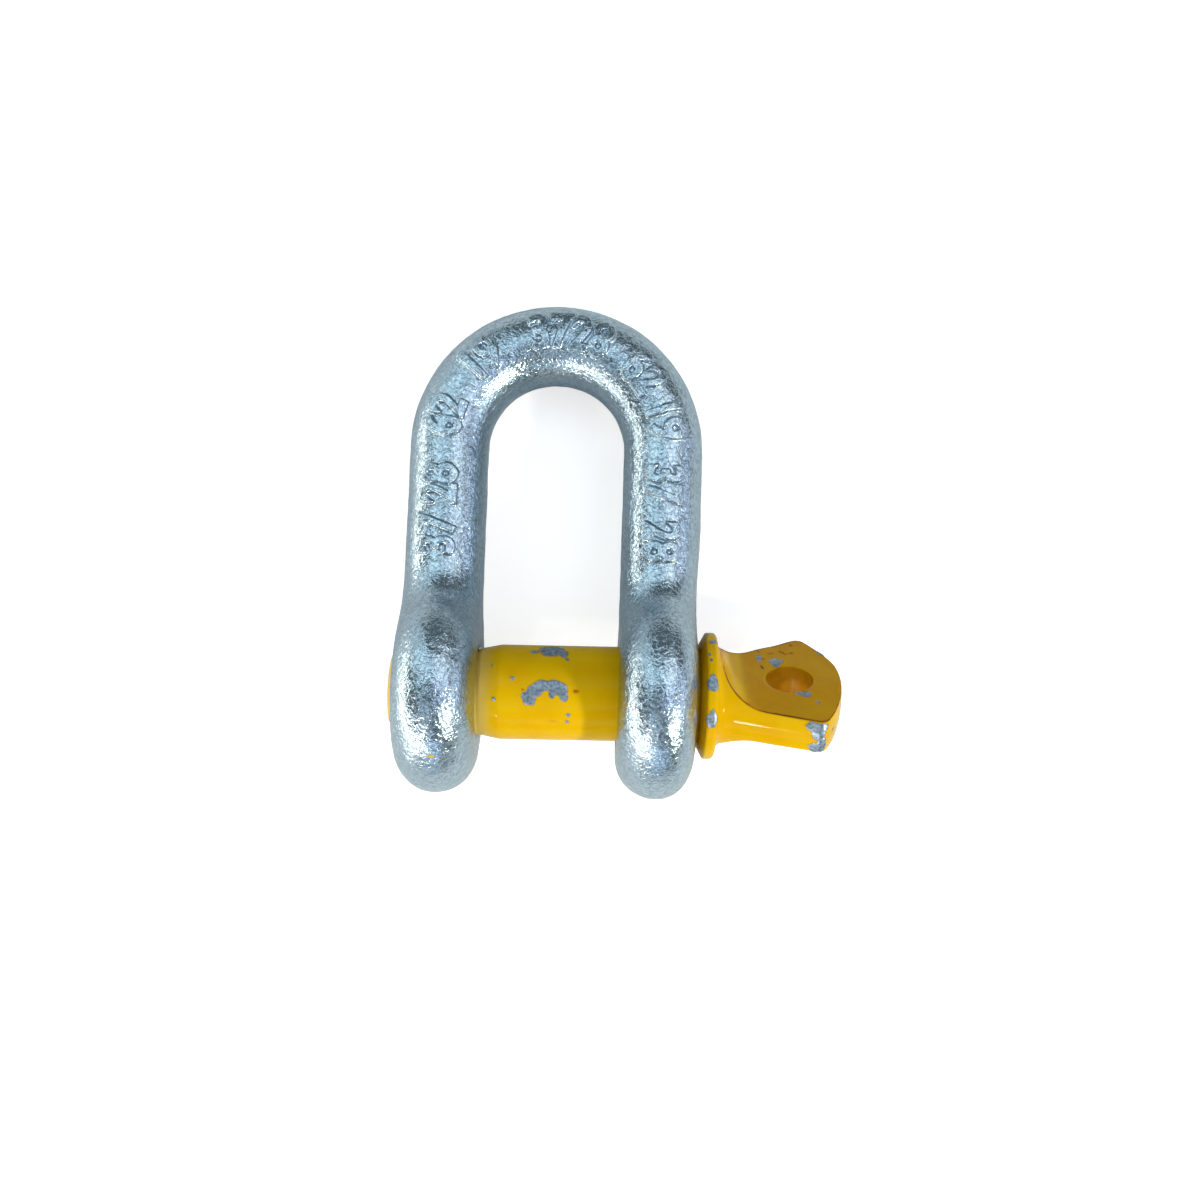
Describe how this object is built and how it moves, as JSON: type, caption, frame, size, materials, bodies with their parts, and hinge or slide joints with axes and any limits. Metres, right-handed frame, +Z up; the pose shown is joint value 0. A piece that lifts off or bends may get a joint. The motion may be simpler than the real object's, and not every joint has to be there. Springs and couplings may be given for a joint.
{
  "type": "screw pin dee shackle",
  "caption": "Forged galvanised dee shackle for joining chain, with a painted screw pin across its ears whose flattened head has an eye for locking wire or a bar.",
  "frame": {"origin": "on the pin's axis, midway between the two ears", "axes": "+X along the pin towards its eye, +Z up, +Y level from the pin towards the crown; the shackle lies at rest on the rims of its ears and its crown"},
  "size_m": [0.0619, 0.068, 0.0284],
  "materials": {
    "galvanised_steel": "hot dip galvanised over forged steel, bright and finely speckled",
    "painted_pin": "gloss yellow paint over galvanised steel, chipped to bare zinc"
  },
  "bodies": {
    "bow": {"bow": "galvanised_steel"},
    "pin": {"screw_pin": "painted_pin"}
  },
  "joints": [
    {"name": "pin_withdraw", "type": "slide", "parent": "bow", "child": "pin", "axis": [1, 0, 0], "range_m": [0, 0.045]}
  ]
}
